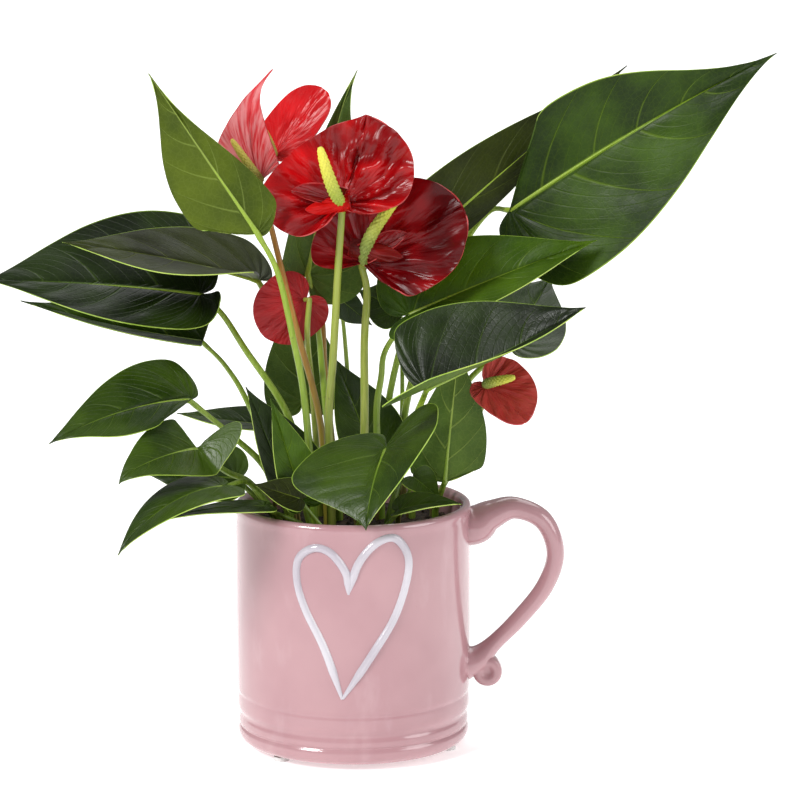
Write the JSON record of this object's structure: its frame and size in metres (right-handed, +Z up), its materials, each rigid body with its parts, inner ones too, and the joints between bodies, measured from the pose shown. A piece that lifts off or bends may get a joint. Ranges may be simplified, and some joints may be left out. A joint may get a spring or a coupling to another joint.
{
  "type": "potted anthurium",
  "caption": "Flowering anthurium with glossy heart-shaped leaves and red spathes on long stems, growing in soil in a ceramic mug with a curled handle and a raised heart outline.",
  "frame": {"origin": "on the mug's own axis, at the surface that it stands on, 2.1 mm under its flat underside", "axes": "+Z up, +X towards the mug's handle and the longest leaf, -Y towards the raised heart and the flowers' faces"},
  "size_m": [0.3321, 0.1394, 0.297],
  "materials": {
    "pink_glaze": "pale pink glossy glaze over stoneware",
    "pad": "matte white soft rubber",
    "soil": "dark crumbly peat and bark, matte",
    "leaf": "glossy dark green leaf with paler veins and margin",
    "stem": "satin yellow-green stalk",
    "spathe": "waxy glossy red with raised veins",
    "spadix": "matte yellow-green with fine bumps"
  },
  "bodies": {
    "root": {"mug": "pink_glaze", "pad_1": "pad", "pad_2": "pad", "pad_3": "pad", "soil": "soil", "leaf_high_right": "leaf", "leaf_high_back_right": "leaf", "leaf_middle_right": "leaf", "leaf_front_right": "leaf", "leaf_back_right": "leaf", "leaf_upright_right": "leaf", "leaf_front_centre": "leaf", "leaf_young_upright": "leaf", "leaf_dark_upright": "leaf", "leaf_small_rim": "leaf", "leaf_low_left": "leaf", "leaf_low_drooping": "leaf", "leaf_low_back_left": "leaf", "leaf_left_heart": "leaf", "leaf_left": "leaf", "leaf_back_left": "leaf", "leaf_far_left": "leaf", "leaf_olive_left": "leaf", "leaf_under_left": "leaf", "leaf_high_left": "leaf", "leaf_high_centre": "leaf", "leaf_small_behind": "leaf", "leaf_behind_middle": "leaf", "leaf_back_centre": "leaf", "leaf_dark_centre": "leaf", "leaf_right_rim": "leaf", "leaf_small_right": "leaf", "flower_large_stem": "stem", "flower_large_spathe": "spathe", "flower_large_spadix": "spadix", "flower_dark_stem": "stem", "flower_dark_spathe": "spathe", "flower_dark_spadix": "spadix", "flower_upright_stem": "stem", "flower_upright_spathe": "spathe", "flower_upright_spadix": "spadix", "flower_behind_stem": "stem", "flower_behind_spathe": "spathe", "flower_behind_spadix": "spadix", "flower_low_back_stem": "stem", "flower_low_back_spathe": "spathe", "flower_low_back_spadix": "spadix", "flower_small_right_stem": "stem", "flower_small_right_spathe": "spathe", "flower_small_right_spadix": "spadix"}
  },
  "joints": []
}
